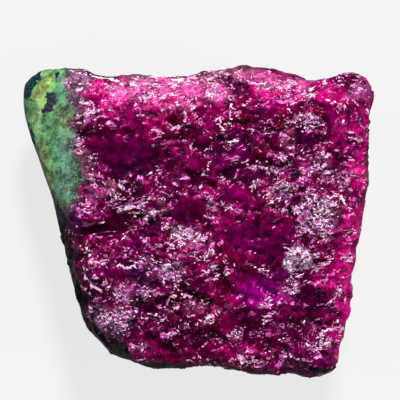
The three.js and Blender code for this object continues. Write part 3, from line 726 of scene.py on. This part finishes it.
# Plates grow where the skin's material shows frost, streak for streak.
skin_frost = nodes.new("GeometryNodeInputNamedAttribute")
skin_frost.inputs["Name"].default_value = "frost"
skin_place = nodes.new("GeometryNodeInputPosition").outputs[0]
sugary = streaked(skin_frost.outputs["Attribute"], along_the_grain(skin_place))
scatter = nodes.new("GeometryNodeDistributePointsOnFaces")
links.new(given["Skin"], scatter.inputs["Mesh"])
links.new(maths("MULTIPLY", sugary, given["Density"]), scatter.inputs["Density"])
links.new(given["Seed"], scatter.inputs["Seed"])
plate = nodes.new("GeometryNodeMeshCone")
plate.inputs["Vertices"].default_value = PLATE_SIDES
links.new(maths("MULTIPLY", given["Plate Radius"], 0.6), plate.inputs["Radius Top"])
links.new(given["Plate Radius"], plate.inputs["Radius Bottom"])
links.new(maths("MULTIPLY", given["Plate Radius"], 0.7), plate.inputs["Depth"])
grow = nodes.new("GeometryNodeInstanceOnPoints")
links.new(scatter.outputs["Points"], grow.inputs["Points"])
links.new(plate.outputs["Mesh"], grow.inputs["Instance"])
links.new(scatter.outputs["Rotation"], grow.inputs["Rotation"])
links.new(random_value("FLOAT_VECTOR", (0.8, 0.3, 0.5), (1.9, 0.6, 1.0), 1), grow.inputs["Scale"])
turn = nodes.new("GeometryNodeRotateInstances")
links.new(grow.outputs["Instances"], turn.inputs["Instances"])
links.new(random_value("FLOAT_VECTOR", (-0.6, -0.6, -0.8), (0.6, 0.6, 0.8), 2), turn.inputs["Rotation"])
keep = nodes.new("GeometryNodeStoreNamedAttribute")
keep.domain = "INSTANCE"
keep.inputs["Name"].default_value = "own"
links.new(turn.outputs["Instances"], keep.inputs["Geometry"])
links.new(random_value("FLOAT", 0.0, 1.0, 3), keep.inputs["Value"])
realize = nodes.new("GeometryNodeRealizeInstances")
links.new(keep.outputs["Geometry"], realize.inputs["Geometry"])
finish = nodes.new("GeometryNodeSetMaterial")
finish.inputs["Material"].default_value = grain_material
links.new(realize.outputs["Geometry"], finish.inputs["Geometry"])
links.new(finish.outputs["Geometry"], nodes.new("NodeGroupOutput").inputs["Grains"])

# The plates are grown on the stone's skin, and then stand for it as a mesh of their own.
grains = bpy.data.objects.new("sugary_grains", stone_mesh)
bpy.context.scene.collection.objects.link(grains)
growth = grains.modifiers.new("sugary_grains", "NODES")
growth.node_group = tree
growth[sockets["Density"].identifier] = PLATES_PER_SQUARE_MM / MM**2
growth[sockets["Plate Radius"].identifier] = PLATE_RADIUS * MM
growth[sockets["Seed"].identifier] = PLATE_SEED
grown = grains.evaluated_get(bpy.context.evaluated_depsgraph_get())
grain_mesh = bpy.data.meshes.new_from_object(grown)
grain_mesh.name = "sugary_grains"
grains.modifiers.remove(growth)
grains.data = grain_mesh
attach(grains, "root")

# The floor: a plain, pale, matte surface, far wider than the stone that lies on it. It is lit a little from
# within, like a light table, so that it stays even. Its half width is in metres.
FLOOR_HALF = 3.0
FLOOR_GREY = 0.09
FLOOR_GLOW = 0.06
FLOOR_GLOW_SEEN = 0.77
floor_mesh = bpy.data.meshes.new("floor")
corners = [(x * FLOOR_HALF, y * FLOOR_HALF, 0) for x, y in ((-1, -1), (1, -1), (1, 1), (-1, 1))]
floor_mesh.from_pydata(corners, [], [(0, 1, 2, 3)])
floor = bpy.data.objects.new("floor", floor_mesh)
bpy.context.scene.collection.objects.link(floor)
floor_material = bpy.data.materials.new("pale_floor")
floor_material.use_nodes = True
floor_shader = floor_material.node_tree.nodes["Principled BSDF"]
floor_shader.inputs["Base Color"].default_value = (FLOOR_GREY, FLOOR_GREY, FLOOR_GREY, 1)
floor_shader.inputs["Roughness"].default_value = 0.9
floor_shader.inputs["Specular IOR Level"].default_value = 0.0
floor_shader.inputs["Emission Color"].default_value = (1, 1, 1, 1)
seen = floor_material.node_tree.nodes.new("ShaderNodeLightPath").outputs["Is Camera Ray"]
emission = floor_material.node_tree.nodes.new("ShaderNodeMapRange")
emission.inputs["To Min"].default_value = FLOOR_GLOW
emission.inputs["To Max"].default_value = FLOOR_GLOW_SEEN
floor_material.node_tree.links.new(seen, emission.inputs["Value"])
floor_material.node_tree.links.new(emission.outputs[0], floor_shader.inputs["Emission Strength"])
floor_mesh.materials.append(floor_material)

# The light: one bright lamp far above the stone's upper edge, three weak soft boxes round it, and a dim room,
# so that clear ruby stays dark and deep when it is looked into. Places and sizes are in metres.
KEY_PLACE = (0.1, 0.75, 0.8)
KEY_STRENGTH = 4.8
KEY_DEGREES = 9
BOX_SIZE = 0.3
BOXES = [
    ("left_light", (-1.0, 0.15, 0.5), 3),
    ("right_light", (1.0, -0.1, 0.5), 5),
    ("front_light", (0, -1.1, 0.3), 2),
]
ROOM_GLOW = 0.06
ROOM_GLOW_SEEN = 0.9


def aimed(name, light, lamp_place):
    """Hangs a light at a place and turns it towards the stone."""
    lamp = bpy.data.objects.new(name, light)
    lamp.location = lamp_place
    lamp.rotation_euler = (Vector((0, 0, 0.01)) - Vector(lamp_place)).to_track_quat("-Z", "Y").to_euler()
    bpy.context.scene.collection.objects.link(lamp)


key = bpy.data.lights.new("key_light", "SUN")
key.energy = KEY_STRENGTH
key.angle = math.radians(KEY_DEGREES)
aimed("key_light", key, KEY_PLACE)
for name, box_place, watts in BOXES:
    box = bpy.data.lights.new(name, "AREA")
    box.size = BOX_SIZE
    box.energy = watts
    aimed(name, box, box_place)
world = bpy.data.worlds.new("studio")
bpy.context.scene.world = world
world.use_nodes = True
sky = world.node_tree.nodes
glow = sky.new("ShaderNodeMapRange")
glow.inputs["To Min"].default_value = ROOM_GLOW
glow.inputs["To Max"].default_value = ROOM_GLOW_SEEN
world.node_tree.links.new(sky.new("ShaderNodeLightPath").outputs["Is Camera Ray"], glow.inputs["Value"])
world.node_tree.links.new(glow.outputs[0], sky["Background"].inputs["Strength"])
sky["Background"].inputs["Color"].default_value = (1, 1, 1, 1)
bpy.context.scene.view_settings.view_transform = "Standard"

# The camera: a long lens straight above the broad face, with the stone a little below the frame's middle. A
# pixel is MM_PER_PIXEL wide at SCALE_HEIGHT, where the broad face's outline lies. Lengths are in millimetres.
MM_PER_PIXEL = 0.102
FRAME_PIXELS = 400
SENSOR_WIDTH = 36
CAMERA_HEIGHT = 310
SCALE_HEIGHT = 10
FRAME_MIDDLE = (0.2, 2.2)
camera_data = bpy.data.cameras.new("camera")
camera_data.sensor_width = SENSOR_WIDTH
camera_data.lens = SENSOR_WIDTH * (CAMERA_HEIGHT - SCALE_HEIGHT) / (FRAME_PIXELS * MM_PER_PIXEL)
camera = bpy.data.objects.new("camera", camera_data)
camera.location = Vector((*FRAME_MIDDLE, CAMERA_HEIGHT)) * MM
bpy.context.scene.collection.objects.link(camera)
bpy.context.scene.camera = camera
